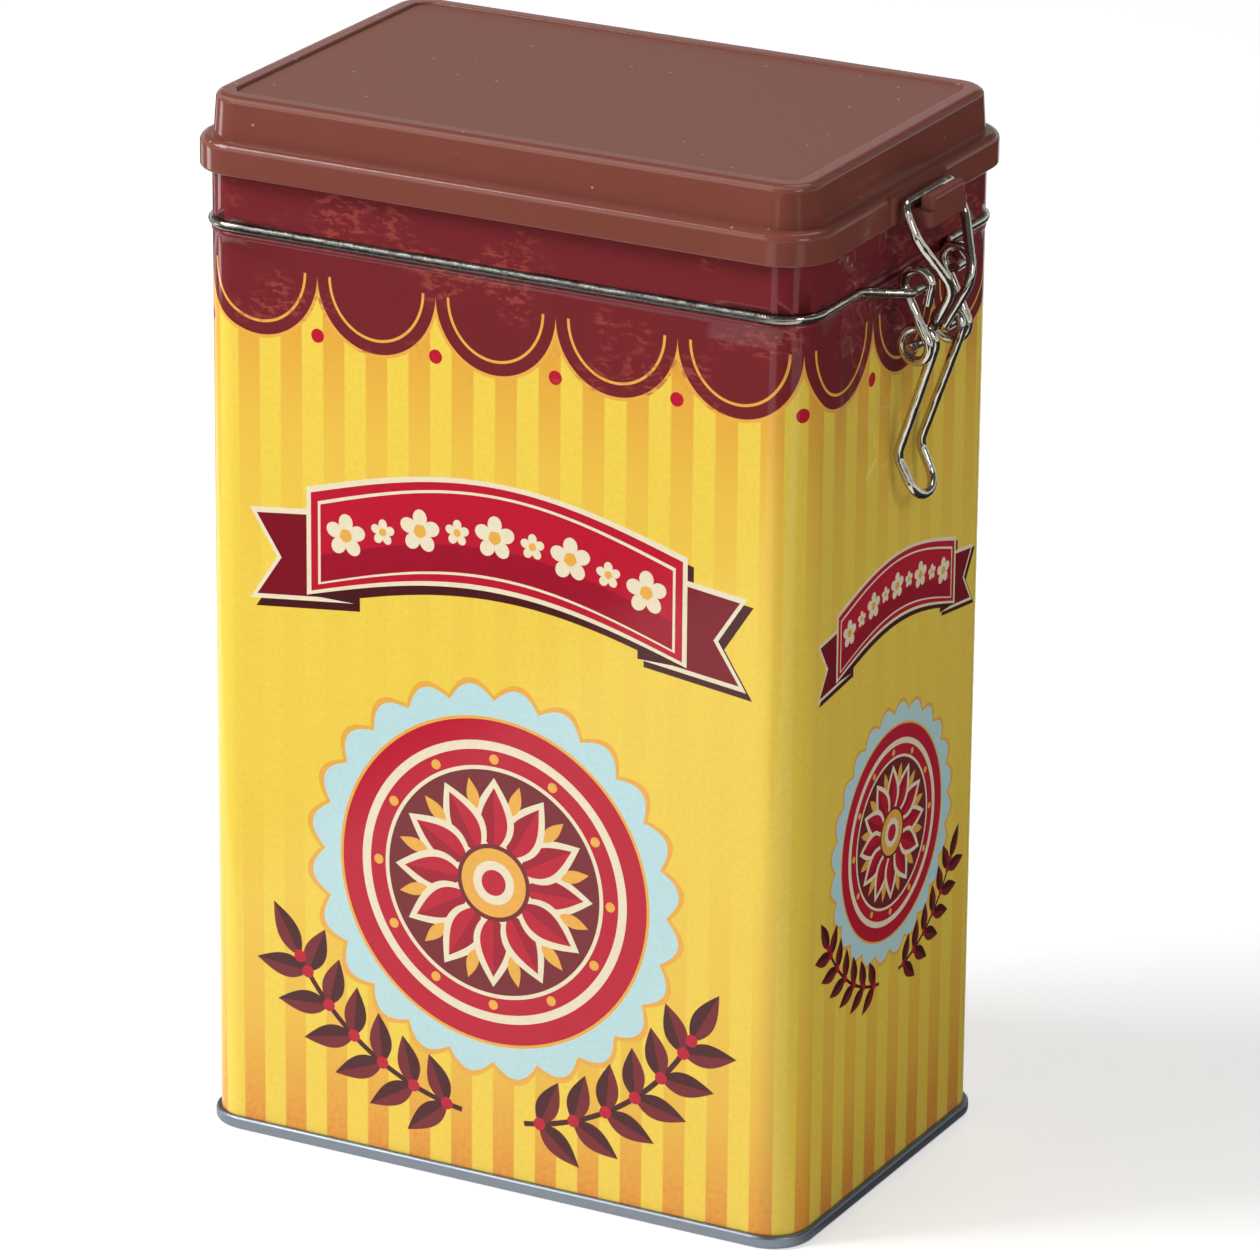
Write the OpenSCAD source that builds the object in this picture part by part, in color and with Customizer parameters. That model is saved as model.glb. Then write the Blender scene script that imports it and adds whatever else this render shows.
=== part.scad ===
// Clip-top tin: a printed sheet-metal canister with rounded corners, a seamed-on bottom end,
// a moulded hinged lid with its gasket, a neck wire with a hinge bow, and an over-centre wire clasp.
// Millimetres, Z up. The origin is at the middle of the standing ring, the printed front faces -Y,
// the clasp is on +X and the hinge on -X.

/* [Tin body] */
// outer width of the body, along X
body_w = 118; // [96:1:150]
// outer depth of the body, along Y
body_d = 75; // [62:1:100]
// height of the neck wire above the standing ring
wire_z = 170; // [120:1:230]
// corner radius of the body, seen from above
corner_r = 7; // [6:0.5:12]
// thickness of the sheet metal
sheet_t = 0.4; // [0.3:0.05:0.6]
// height of the curled rim's middle above the neck wire
rim_up = 11.15; // [9.5:0.05:14]
// radius of the curled rim
rim_r = 1; // [0.7:0.05:1.3]
// how far the rim's middle lies inside the outer wall
rim_in = 0.5; // [0.3:0.05:0.8]
// radius of the rolled bead under the neck wire
bead_r = 0.6; // [0.4:0.05:0.8]
// how far the bead stands out from the wall
bead_out = 0.2; // [0.1:0.05:0.3]

/* [Bottom end] */
// height of the double seam
seam_h = 2.4; // [2.1:0.1:4]
// how far the seam stands out from the wall
seam_out = 1; // [0.85:0.05:1.4]
// radius of the seam's outer edges
seam_edge_r = 0.7; // [0.4:0.05:0.7]
// clearance round the body's edge inside the seam
seam_gap = 0.05; // [0.03:0.01:0.1]
// thickness of the end's upright wall inside the body
chuck_t = 0.5; // [0.4:0.05:0.8]
// height of the bottom panel's outer band above the seam
panel_up = 0.1; // [0:0.1:1]
// how far the stepped middle of the bottom panel drops below its edge
panel_step = 0.6; // [0.3:0.1:1]
// width of the bottom panel's outer band
panel_band = 7; // [5:0.5:12]

/* [Lid] */
// height of the lid's flange
flange_h = 5.8; // [5:0.1:8]
// how far the flange stands out from the body
flange_out = 2.1; // [1.8:0.1:4]
// height of the lid's bottom edge above the neck wire
flange_up = 9.7; // [8.5:0.1:12]
// height of the lid above its flange
crown_h = 7.6; // [6:0.1:12]
// how far the crown's wall lies inside the body's wall
crown_in = 0.3; // [0.1:0.05:0.8]
// draft of the crown's wall over its height
crown_draft = 0.45; // [0.2:0.05:0.8]
// thickness of the moulded walls
lid_t = 1.6; // [1.3:0.05:2]
// radius of the flange's upper edge
flange_edge_r = 1.5; // [0.8:0.1:2]
// radius of the crown's upper edge
crown_edge_r = 1.4; // [0.8:0.1:2]
// width of the raised border round the top panel
border_w = 4.3; // [3.6:0.1:5]
// radius of the border's inner edge
border_edge_r = 0.3; // [0.1:0.05:0.3]
// depth of the top panel below its border
panel_drop = 0.5; // [0.3:0.05:0.7]
// clearance between the flange's skirt and the neck
skirt_gap = 0.9; // [0.8:0.05:1.2]
// how far the locating ring inside the lid lies inside the body's wall
plug_in = 3; // [2.6:0.1:3.2]
// how far the locating ring reaches below the lid's shoulder
plug_h = 2.8; // [2:0.1:3]
// clearance between the rim and the gasket
gasket_gap = 0.3; // [0.2:0.05:0.4]
// clearance at the gasket's sides
gasket_side = 0.15; // [0.1:0.05:0.3]

/* [Catch on the lid] */
// width of the catch's back pad
pad_w = 21; // [20:0.5:28]
// how far the pad stands out from the flange
pad_out = 0.7; // [0.6:0.1:1.5]
// width of the catch's floor
floor_w = 14; // [12.2:0.2:14.8]
// height of the catch's floor above the lid's bottom edge
floor_up = 2.9; // [2.6:0.05:3.2]
// width of the catch's lip
lip_w = 12; // [8:0.2:12.4]
// thickness of the catch's lip
lip_t = 2.5; // [1.9:0.1:3]
// height of the lip above the catch's floor
lip_h = 2.6; // [2:0.1:2.8]
// radius of the lip's upper edges
lip_edge_r = 0.8; // [0.4:0.1:0.9]
// clearance behind the bail's bar, to the pad
bar_back_gap = 0.4; // [0.35:0.05:0.8]
// clearance in front of the bail's bar, to the lip
bar_front_gap = 0.9; // [0.85:0.05:1.3]
// clearance under the bail's bar, to the catch's floor
bar_under_gap = 0.4; // [0.35:0.05:0.6]

/* [Wires] */
// diameter of all four wires
wire_d = 1.75; // [1.5:0.05:1.9]
// how far the neck wire's middle lies inside the body's outer wall
wire_in = 0.1; // [0:0.05:0.3]
// clearance between the neck wire and its groove
groove_gap = 0.05; // [0.03:0.01:0.1]
// inside bend radius of a tight wire corner
tight_bend = 0.75; // [0.6:0.05:1]
// side clearance between wires that pass each other
side_gap = 0.35; // [0.3:0.05:0.5]

/* [Clasp] */
// how far the lever's pivot stands out from the body
pivot_out = 6.3; // [6:0.1:8]
// height of the lever's pivot above the neck wire in its groove
pivot_up = -1.1; // [-1.6:0.1:-0.4]
// distance along the wall from where the neck wire leaves its groove to where it turns into a pin
neck_lead = 6.5; // [5.5:0.1:9]
// how far a pin stands out past the eye or loop on it
pin_over = 0.4; // [0.2:0.1:0.6]
// radius of the hole in the lever's eyes
eye_hole_r = 1.7; // [1.6:0.05:1.9]
// height of the eyes' middle above the lever's pivot
eye_lift = 1.1; // [0.6:0.1:1.2]
// length of the straight end that closes an eye
hook_len = 3; // [2:0.1:3.2]
// height of the lever's loops below its pivot
arm_h = 10.15; // [9.5:0.05:12]
// how far the loops' middle lies nearer the tin than the pivot
over_centre = 0.5; // [0.3:0.1:0.8]
// radius of the hole in the lever's loops
loop_hole_r = 1.95; // [1.6:0.05:2.2]
// clearance between the turns of a loop
loop_gap = 0.8; // [0.75:0.05:1]
// distance of the lever's upper legs from the clasp's middle
leg_y = 7.9; // [7.6:0.1:9]
// height of the handle's kink below the loops' middle
kink_down = 21.3; // [16:0.1:28]
// how far the kink stands out from the body
kink_out = 1.5; // [1.3:0.1:4]
// distance of the handle's legs from the clasp's middle at the kink
kink_y = 4.4; // [4:0.1:5]
// height of the handle's tip below its kink
tip_down = 7.5; // [6:0.1:12]
// how far the tip stands out past the kink
tip_out = 3.7; // [2:0.1:5]
// half the width of the bail's bar
bar_half = 9.2; // [9:0.1:10]
// height of the bail's bow above the loops' middle
bow_up = 9.85; // [9:0.05:11]
// how far the bail's legs bow out past the lever's pivot
bow_out = 4.9; // [4.6:0.1:6]
// height of the bail's knees below its bar
knee_down = 5.7; // [5:0.1:6.4]
// how far the knees stand out past the bar
knee_out = 2.7; // [2.4:0.1:3.4]

/* [Hinge] */
// how far the hinge bar stands out from the body
hinge_out = 7.5; // [6.5:0.1:9]
// height of the hinge bar above the neck wire
hinge_up = 6.3; // [5:0.1:7.5]
// half the length of the hinge bar
hinge_half = 11.5; // [10.5:0.5:14]
// length of each foot welded along the neck wire
foot_len = 5.5; // [4.5:0.5:8]
// how deep a foot is fused into the neck wire
weld = 0.1; // [0.05:0.01:0.2]
// running clearance of the lid's knuckles on the hinge bar
knuckle_gap = 0.06; // [0.03:0.01:0.1]
// wall of a knuckle
knuckle_t = 1.5; // [1.2:0.1:2]
// width of a knuckle, along Y
knuckle_w = 5; // [4:0.5:6]
// distance of a knuckle's middle from the hinge's middle
knuckle_y = 6.2; // [4:0.1:6.4]

/* [Hidden] */
$fn = 48;
wr = wire_d / 2;
bend_r = wr + tight_bend;
face_x = body_w / 2;

// joining and cutting: how far forms lap into each other, the hair's width that keeps their faces apart,
// and how far a cutting form reaches past what it cuts
lap = 0.08;
panel_lap = 0.5;
hair = 0.01;
past = 1;

// measuring the wires: steps along a bend, distance between points on a straight, and how far apart
// two places lie along a wire before the gap between them counts
arc_steps = 5;
point_step = 0.4;
far_along = 9;

// heights that several pieces share
rim_z = wire_z + rim_up;
lid_z = wire_z + flange_up;
shoulder_z = lid_z + flange_h;
top_z = shoulder_z + crown_h;
roof_z = shoulder_z - lid_t;
panel_z = seam_h + panel_up;
foot_z = 2 * sheet_t + seam_gap;

// the clasp's axes, all along Y
flange_x = face_x + flange_out;
pivot = [face_x + pivot_out, wire_z + pivot_up];
loop = [pivot[0] - over_centre, pivot[1] - arm_h];
pad_x = flange_x + pad_out;
floor_z = lid_z + floor_up;
bar = [pad_x + bar_back_gap + wr, floor_z + bar_under_gap + wr];
lip_x = bar[0] + wr + bar_front_gap;
hinge = [-face_x - hinge_out, wire_z + hinge_up];

// the lever's eye and loop: the leg crosses from the eye's inner side to the loop's outer side,
// and the handle leaves the loop on its outer side after more than a turn
eye = [pivot[0], pivot[1] + eye_lift];
eye_r = eye_hole_r + wr;
loop_r = loop_hole_r + wr;
pin_y = leg_y + wire_d + side_gap;
kink = [face_x + kink_out, loop[1] - kink_down];
leg_dir = atan2(loop[1] - eye[1], loop[0] - eye[0]) + asin((eye_r + loop_r) / norm(loop - eye));
handle_dir = atan2(kink[1] - loop[1], kink[0] - loop[0]) - asin(loop_r / norm(kink - loop));
eye_from = -10;
eye_turn = 270 + leg_dir - eye_from;
eye_steps = 4;
loop_in = leg_dir + 90;
loop_turn = 360 + leg_dir - handle_dir;
loop_steps = 7;
loop_pitch = wire_d + loop_gap;
handle_y = leg_y - loop_pitch * loop_turn / 360;
bail_foot_y = handle_y - wire_d - side_gap;

// small offsets of the handle's rounded tip and of the bail's bow and knees, along Y
tip_in = 0.4;
tip_flat = 0.3;
tip_r = kink_y - tip_in - tip_flat;
bow_in = 0.8;
knee_in = 0.1;

// edges of the catch: rounding, and how far its pad and floor lie inside the flange's height
catch_r = 0.8;
pad_low = 0.7;
pad_high = 0.2;
floor_low = 0.2;

// webs that carry the hinge knuckles: where they leave the knuckle, and their ends on the flange
web_turn = 35;
web_out = 1.6;
web_in = 0.6;
web_low = 0.5;

// vectors and bends

function unit(v) = v / norm(v);
function turn_at(a, b, c) = acos(min(1, max(-1, unit(b - a) * unit(c - b))));
function cut_at(a, b, c, r) = r * tan(turn_at(a, b, c) / 2);
function bend_centre(a, b, c, r) = b + unit(unit(c - b) - unit(b - a)) * r / cos(turn_at(a, b, c) / 2);
function bend_start(a, b, c, r) = b - unit(b - a) * cut_at(a, b, c, r);
function bend_end(a, b, c, r) = b + unit(c - b) * cut_at(a, b, c, r);

// the middle line of a bent wire as points, for measuring it
function wire_points(p, r) = [
    for (i = [0 : len(p) - 1])
        if (i == 0 || i == len(p) - 1) p[i]
        else
            let (c = bend_centre(p[i - 1], p[i], p[i + 1], r[i]),
                 s = bend_start(p[i - 1], p[i], p[i + 1], r[i]) - c,
                 d = unit(p[i] - p[i - 1]) * r[i],
                 turn = turn_at(p[i - 1], p[i], p[i + 1]))
            for (k = [0 : arc_steps]) c + s * cos(turn * k / arc_steps) + d * sin(turn * k / arc_steps)
];
function fine(q) = [
    for (i = [0 : len(q) - 2])
        let (n = ceil(norm(q[i + 1] - q[i]) / point_step))
        for (k = [0 : n - 1]) q[i] + (q[i + 1] - q[i]) * k / n
];
function lengths(q, i = 1, sum = [0]) =
    i == len(q) ? sum : lengths(q, i + 1, concat(sum, sum[i - 1] + norm(q[i] - q[i - 1])));
function least_gap(q, far) =
    let (s = lengths(q))
    min([
        for (i = [0 : len(q) - 1])
            for (j = [i + 1 : 1 : len(q) - 1])
                if (s[j] - s[i] > far) norm(q[i] - q[j])
    ]) - wire_d;

// turns local X, Y and Z to the three given unit vectors
module facing(e1, e2, e3) {
    upright = norm([e1[0], e1[1]]) < 0.00001;
    rotate(upright
        ? [e1[2] > 0 ? atan2(-e2[0], e2[1]) : atan2(e2[0], e2[1]), e1[2] > 0 ? -90 : 90, 0]
        : [atan2(e2[2], e3[2]), atan2(-e1[2], norm([e1[0], e1[1]])), atan2(e1[1], e1[0])])
        children();
}

module rod(a, b) {
    d = unit(b - a);
    translate(a)
        rotate([0, acos(d[2]), atan2(d[1], d[0])])
            cylinder(h = norm(b - a), r = wr);
}

module bend(a, b, c, r) {
    mid = bend_centre(a, b, c, r);
    e1 = unit(bend_start(a, b, c, r) - mid);
    e2 = unit(b - a);
    translate(mid)
        facing(e1, e2, cross(e1, e2))
            rotate_extrude(angle = turn_at(a, b, c))
                translate([r, 0])
                    circle(r = wr - hair);
}

// a wire through points p, rounded at point i with radius r[i]:
// straight rods that lap a little into their bends
module wire(p, r) {
    last = len(p) - 1;
    for (i = [0 : last - 1]) {
        from = i == 0 ? p[0] : bend_end(p[i - 1], p[i], p[i + 1], r[i]);
        to = i == last - 1 ? p[last] : bend_start(p[i], p[i + 1], p[i + 2], r[i + 1]);
        d = unit(p[i + 1] - p[i]);
        rod(i == 0 ? from : from - d * lap, i == last - 1 ? to : to + d * lap);
    }
    for (i = [1 : last - 1])
        bend(p[i - 1], p[i], p[i + 1], r[i]);
}

function flip(p) = [for (i = [len(p) - 1 : -1 : 0]) [p[i][0], -p[i][1], p[i][2]]];
function back(r) = [for (i = [len(r) - 1 : -1 : 0]) r[i]];

// rounded-rectangle forms

module plan(w, d, r) {
    square([w - 2 * r, d], center = true);
    square([w, d - 2 * r], center = true);
    for (x = [-1, 1], y = [-1, 1])
        translate([x * (w / 2 - r), y * (d / 2 - r)])
            circle(r = r);
}

// carries a profile round the body's outline: profile x is the distance outwards from the wall, y is the height
module round_the_body() {
    for (k = [0 : 3]) {
        long = k % 2 == 1;
        rotate([0, 0, 90 * k])
            translate([(long ? body_d : body_w) / 2, 0, 0])
                rotate([90, 0, 0])
                    linear_extrude(height = (long ? body_w : body_d) - 2 * corner_r, center = true)
                        children();
    }
    for (k = [0 : 3]) {
        x = (k == 0 || k == 3 ? 1 : -1) * (body_w / 2 - corner_r);
        y = (k < 2 ? 1 : -1) * (body_d / 2 - corner_r);
        translate([x, y, 0])
            rotate([0, 0, 90 * k])
                rotate_extrude(angle = 90)
                    translate([corner_r, 0])
                        children();
    }
}

module block(x0, x1, z0, z1) {
    translate([x0, z0])
        square([x1 - x0, z1 - z0]);
}

module at(x, z) {
    translate([x, z])
        children();
}

// a quarter disc that rounds an outer upper corner
module upper_corner(x, z, r) {
    intersection() {
        at(x, z) circle(r = r);
        block(x, x + r, z, z + r);
    }
}

// Tin body: one sheet with the wire's groove rolled in, a bead under it and a curled rim
module tin_body() {
    groove_r = wr + groove_gap;
    pocket_r = groove_r + sheet_t;
    color("khaki")
        round_the_body()
            difference() {
                union() {
                    block(-sheet_t, 0, foot_z, rim_z);
                    intersection() {
                        at(-wire_in, wire_z) circle(r = pocket_r);
                        block(-wire_in - pocket_r, 0, wire_z - pocket_r - past, wire_z + pocket_r + past);
                    }
                    at(bead_out - bead_r, wire_z - groove_r - bead_r) circle(r = bead_r);
                    at(-rim_in, rim_z) circle(r = rim_r);
                }
                at(-wire_in, wire_z) circle(r = groove_r);
            }
}

// Bottom end: a pan whose double seam folds over the body's lower edge, with a stepped panel
module bottom_end() {
    inner = -sheet_t - seam_gap;
    chuck = inner - chuck_t;
    round = seam_edge_r;
    color("silver") {
        round_the_body()
            difference() {
                union() {
                    block(seam_gap, seam_out, round, seam_h - round);
                    at(seam_out - round, seam_h - round) circle(r = round);
                    block(seam_gap, seam_out - round, seam_h - round, seam_h);
                    block(chuck, seam_out - round, 0, foot_z - seam_gap);
                    at(seam_out - round, round) circle(r = round);
                    block(chuck, inner, 0, panel_z + sheet_t);
                    block(chuck - past, inner, panel_z, panel_z + sheet_t);
                }
                block(inner, seam_gap, foot_z - seam_gap, seam_h + past);
            }
        w = body_w + 2 * chuck;
        d = body_d + 2 * chuck;
        r = corner_r + chuck;
        difference() {
            translate([0, 0, panel_z])
                linear_extrude(sheet_t)
                    plan(w, d, r);
            translate([0, 0, panel_z - past])
                linear_extrude(sheet_t + 2 * past)
                    plan(w - 2 * panel_band, d - 2 * panel_band, r);
        }
        translate([0, 0, panel_z - panel_step]) {
            linear_extrude(sheet_t)
                plan(w - 2 * panel_band, d - 2 * panel_band, r);
            difference() {
                linear_extrude(panel_step + sheet_t)
                    plan(w - 2 * panel_band + 2 * sheet_t, d - 2 * panel_band + 2 * sheet_t, r + sheet_t);
                translate([0, 0, -past])
                    linear_extrude(panel_step + sheet_t + 2 * past)
                        plan(w - 2 * panel_band - 2 * hair, d - 2 * panel_band - 2 * hair, r - hair);
            }
        }
    }
}

// Lid: flange, crown with a recessed top panel, locating ring, catch and hinge knuckles
module lid_profile() {
    skirt_r = 0.45;
    crown_x = -crown_in - crown_draft;
    block(skirt_gap, flange_out, lid_z + skirt_r, shoulder_z - flange_edge_r);
    block(skirt_gap, flange_out - skirt_r, lid_z, shoulder_z - flange_edge_r);
    at(flange_out - skirt_r, lid_z + skirt_r) circle(r = skirt_r);
    block(-crown_in - lid_t, flange_out - flange_edge_r, roof_z, shoulder_z);
    block(0, flange_out, roof_z, shoulder_z - flange_edge_r);
    upper_corner(flange_out - flange_edge_r, shoulder_z - flange_edge_r, flange_edge_r);
    polygon([
        [-crown_in - lid_t, roof_z],
        [-crown_in, roof_z],
        [-crown_in, shoulder_z],
        [crown_x, top_z - crown_edge_r],
        [crown_x - crown_edge_r, top_z - crown_edge_r],
        [crown_x - lid_t, top_z - crown_edge_r],
    ]);
    upper_corner(crown_x - crown_edge_r, top_z - crown_edge_r, crown_edge_r);
    block(-border_w, crown_x - crown_edge_r, top_z - lid_t, top_z - border_edge_r);
    block(border_edge_r - border_w, crown_x - crown_edge_r, top_z - lid_t, top_z);
    at(border_edge_r - border_w, top_z - border_edge_r) circle(r = border_edge_r);
    block(-border_w - panel_lap, crown_x - lid_t, top_z - panel_drop - lid_t, top_z - panel_drop);
    block(-plug_in - lid_t, -plug_in, roof_z - plug_h, top_z - lid_t);
}

// a slab that grows out of the flange, with rounded outer corners
module catch_slab(x, w, z0, z1) {
    r = catch_r;
    root = flange_x - lid_t / 2;
    translate([0, 0, z0])
        linear_extrude(z1 - z0) {
            translate([root, -w / 2])
                square([x - r - root, w]);
            translate([root, r - w / 2])
                square([x - root, w - 2 * r]);
            for (side = [-1, 1])
                translate([x - r, side * (w / 2 - r)])
                    circle(r = r);
        }
}

// the catch's lip, with its upper edges rounded
module lip_profile() {
    r = lip_edge_r;
    lip_z = floor_z + lip_h;
    block(lip_x, lip_x + lip_t, lid_z, lip_z - r);
    block(lip_x + r, lip_x + lip_t - r, lid_z, lip_z);
    for (x = [lip_x + r, lip_x + lip_t - r])
        at(x, lip_z - r) circle(r = r);
}

module knuckle_profile() {
    r = wr + knuckle_gap + knuckle_t;
    at(hinge[0], hinge[1]) circle(r = r);
    polygon([
        [hinge[0] - r * cos(web_turn), hinge[1] + r * sin(web_turn)],
        [-flange_x - web_out, shoulder_z - flange_edge_r],
        [-flange_x + web_in, shoulder_z - flange_edge_r],
        [-flange_x + web_in, lid_z + web_low],
        [hinge[0] + r * cos(web_turn), hinge[1] - r * sin(web_turn)],
    ]);
}

module lid() {
    color("sienna")
        difference() {
            union() {
                round_the_body()
                    lid_profile();
                translate([0, 0, top_z - panel_drop - lid_t])
                    linear_extrude(lid_t)
                        plan(body_w - 2 * border_w, body_d - 2 * border_w, corner_r - border_w);
                // catch: pad on the flange, floor under the bail's bar, lip in front of it
                catch_slab(pad_x, pad_w, lid_z + pad_low, shoulder_z - pad_high);
                catch_slab(lip_x + lip_t, floor_w, lid_z + floor_low, floor_z);
                intersection() {
                    catch_slab(lip_x + lip_t, lip_w, lid_z + floor_low, floor_z + lip_h);
                    translate([0, lip_w / 2, 0])
                        rotate([90, 0, 0])
                            linear_extrude(lip_w)
                                lip_profile();
                }
                // hinge knuckles
                for (side = [-1, 1])
                    translate([0, side * knuckle_y + knuckle_w / 2, 0])
                        rotate([90, 0, 0])
                            linear_extrude(knuckle_w)
                                knuckle_profile();
            }
            translate([hinge[0], 0, hinge[1]])
                rotate([90, 0, 0])
                    cylinder(h = 4 * knuckle_y + 2 * knuckle_w, r = wr + knuckle_gap, center = true);
        }
}

// Lid gasket: a soft ring under the lid's shoulder, over the curled rim
module lid_gasket() {
    low = rim_z + rim_r + gasket_gap;
    color("gainsboro")
        round_the_body()
            block(-plug_in + gasket_side, skirt_gap - gasket_side, low, roof_z);
}

// Neck wire: round the tin in its groove, each end turned into a pin for the lever's eye
function neck_side() = [
    [pivot[0], -leg_y + wr + pin_over, pivot[1]],
    [pivot[0], -pin_y, pivot[1]],
    [face_x - wire_in, -pin_y - neck_lead, wire_z],
];
neck_side_bends = [0, bend_r, 2 * wire_d];

module neck_wire() {
    corner = [for (x = [1, -1]) [x * (face_x - wire_in), -(body_d / 2 - wire_in), wire_z]];
    half = concat(neck_side(), corner);
    bends = concat(neck_side_bends, [corner_r - wire_in, corner_r - wire_in]);
    color("lightsteelblue")
        wire(concat(half, flip(half)), concat(bends, back(bends)));
}

// Hinge wire: a bow for the lid's knuckles, its feet welded along the neck wire
module hinge_wire() {
    foot_x = -face_x + wire_in - wire_d + weld;
    half = [
        [foot_x, -hinge_half - foot_len, wire_z],
        [foot_x, -hinge_half, wire_z],
        [hinge[0], -hinge_half, hinge[1]],
    ];
    bends = [0, bend_r, bend_r];
    color("steelblue")
        wire(concat(half, flip(half)), concat(bends, back(bends)));
}

// Closure lever: an eye round each of the neck wire's pins, legs, a full loop round the bail's pin
// on each side, and the handle
function round_points(middle, r, from, turn, steps, y0, y1) =
    let (step = turn / steps, far_r = r / cos(step / 2))
    [for (i = [0.5 : steps - 0.5])
        let (a = from + i * step)
        [middle[0] + far_r * cos(a), y0 + (y1 - y0) * i / steps, middle[1] + far_r * sin(a)]];
function lever_side() =
    concat(
        [[
            eye[0] + eye_r * cos(eye_from) + hook_len * sin(eye_from),
            -leg_y,
            eye[1] + eye_r * sin(eye_from) - hook_len * cos(eye_from),
        ]],
        round_points(eye, eye_r, eye_from, eye_turn, eye_steps, -leg_y, -leg_y),
        round_points(loop, loop_r, loop_in, -loop_turn, loop_steps, -leg_y, -handle_y),
        [
            [kink[0], -kink_y, kink[1]],
            [kink[0] + tip_out, -kink_y + tip_in, kink[1] - tip_down],
        ]);
// a bend a little tighter than its circle leaves a short straight between one bend and the next
tighter = 0.94;
function lever_bends() = concat(
    [0],
    [for (i = [1 : eye_steps]) eye_r * tighter],
    [for (i = [1 : loop_steps]) loop_r * tighter],
    [2 * wire_d, tip_r]);

module closure_lever() {
    half = lever_side();
    line = fine(wire_points(half, lever_bends()));
    echo("least gap of the lever's wire to itself, mm", least_gap(line, far_along));
    color("slategray")
        wire(concat(half, flip(half)), concat(lever_bends(), back(lever_bends())));
}

// Locking bail: pins through the lever's loops, bowed legs that open out past the pivot,
// and the bar in the catch
function bail_side() = [
    [loop[0], -leg_y - wr - pin_over, loop[1]],
    [loop[0], -bail_foot_y, loop[1]],
    [pivot[0] + bow_out, -bail_foot_y - bow_in, loop[1] + bow_up],
    [bar[0] + knee_out, -bar_half - knee_in, bar[1] - knee_down],
    [bar[0], -bar_half, bar[1]],
];
bail_bends = [0, bend_r, 3 * wire_d, 3 * wire_d, bend_r];

module locking_bail() {
    half = bail_side();
    color("lightslategray")
        wire(concat(half, flip(half)), concat(bail_bends, back(bail_bends)));
}

tin_body();
bottom_end();
lid();
lid_gasket();
neck_wire();
hinge_wire();
closure_lever();
locking_bail();
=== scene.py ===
# %% [markdown]
# A clip-top tin
#
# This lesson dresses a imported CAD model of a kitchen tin: a printed sheet-metal body with a seamed
# bottom, a moulded plastic lid with its gasket, and four bent wires for the clasp and the hinge.
# The CAD solids give every piece its size and place. This script adds the print, the finishes and
# the light.

# %% Load the frame
import math

import bpy
from mathutils import Matrix, Vector
from mathutils.geometry import delaunay_2d_cdt


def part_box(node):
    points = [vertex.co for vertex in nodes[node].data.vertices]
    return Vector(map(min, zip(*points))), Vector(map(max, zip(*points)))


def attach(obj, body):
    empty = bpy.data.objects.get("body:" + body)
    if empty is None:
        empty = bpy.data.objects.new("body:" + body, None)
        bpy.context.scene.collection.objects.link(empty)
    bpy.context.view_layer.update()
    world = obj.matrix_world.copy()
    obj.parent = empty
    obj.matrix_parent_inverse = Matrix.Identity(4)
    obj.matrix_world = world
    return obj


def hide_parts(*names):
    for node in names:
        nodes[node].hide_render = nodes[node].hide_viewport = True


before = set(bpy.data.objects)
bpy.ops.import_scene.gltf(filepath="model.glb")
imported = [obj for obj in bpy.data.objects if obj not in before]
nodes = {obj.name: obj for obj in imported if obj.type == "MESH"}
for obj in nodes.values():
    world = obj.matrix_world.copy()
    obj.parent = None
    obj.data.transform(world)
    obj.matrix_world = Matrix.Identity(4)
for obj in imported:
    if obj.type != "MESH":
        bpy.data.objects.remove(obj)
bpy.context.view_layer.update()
MM = 0.001
for name in sorted(nodes):
    low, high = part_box(name)
    print(name, [round(x / MM, 1) for x in high - low], "mm")

# %% [markdown]
# Camera
#
# The photograph was taken with a long lens from the front right and a little above. A long lens
# keeps the tin's upright edges almost parallel. The camera stands on a sphere round a target point,
# given by its bearing, its height angle and its distance, because these three numbers can be
# changed one at a time.

# %% Camera
VIEW_TARGET = Vector((3.2, 6.6, 91.6)) * MM
VIEW_AZIMUTH, VIEW_ELEVATION, VIEW_ROLL = 27.87, 20.23, 0.54
VIEW_DISTANCE = 1374.7 * MM
LENS_MM, SENSOR_MM = 220.6, 36.0


def bearing(azimuth, elevation):
    """The unit vector from the tin towards a viewer at these angles, in degrees."""
    a, e = math.radians(azimuth), math.radians(elevation)
    return Vector((math.cos(e) * math.sin(a), -math.cos(e) * math.cos(a), math.sin(e)))


def place_on_sphere(thing, target, azimuth, elevation, distance, roll=0.0):
    """Puts a camera or lamp at these angles round the target and points it there."""
    towards = bearing(azimuth, elevation)
    aim = towards.to_track_quat("Z", "Y").to_matrix().to_4x4()
    aim = aim @ Matrix.Rotation(math.radians(roll), 4, "Z")
    thing.matrix_world = Matrix.Translation(target + towards * distance) @ aim
    bpy.context.scene.collection.objects.link(thing)


lens = bpy.data.cameras.new("long_lens")
lens.sensor_width, lens.lens = SENSOR_MM, LENS_MM
camera = bpy.data.objects.new("camera", lens)
place_on_sphere(camera, VIEW_TARGET, VIEW_AZIMUTH, VIEW_ELEVATION, VIEW_DISTANCE, VIEW_ROLL)
bpy.context.scene.camera = camera
print("camera at", [round(x, 3) for x in camera.matrix_world.translation])

# %% [markdown]
# Colours and nodes
#
# Colours are written as sRGB hex values, as a paint program shows them, and one function makes them
# linear for the shaders. One small function adds a node, sets its fields and fills or links its
# inputs, so each material reads as a recipe. A Mix node has sockets for every kind of value. For
# colours, it mixes inputs 6 and 7, and output 2 is the result.

# %% Colours and nodes


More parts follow.
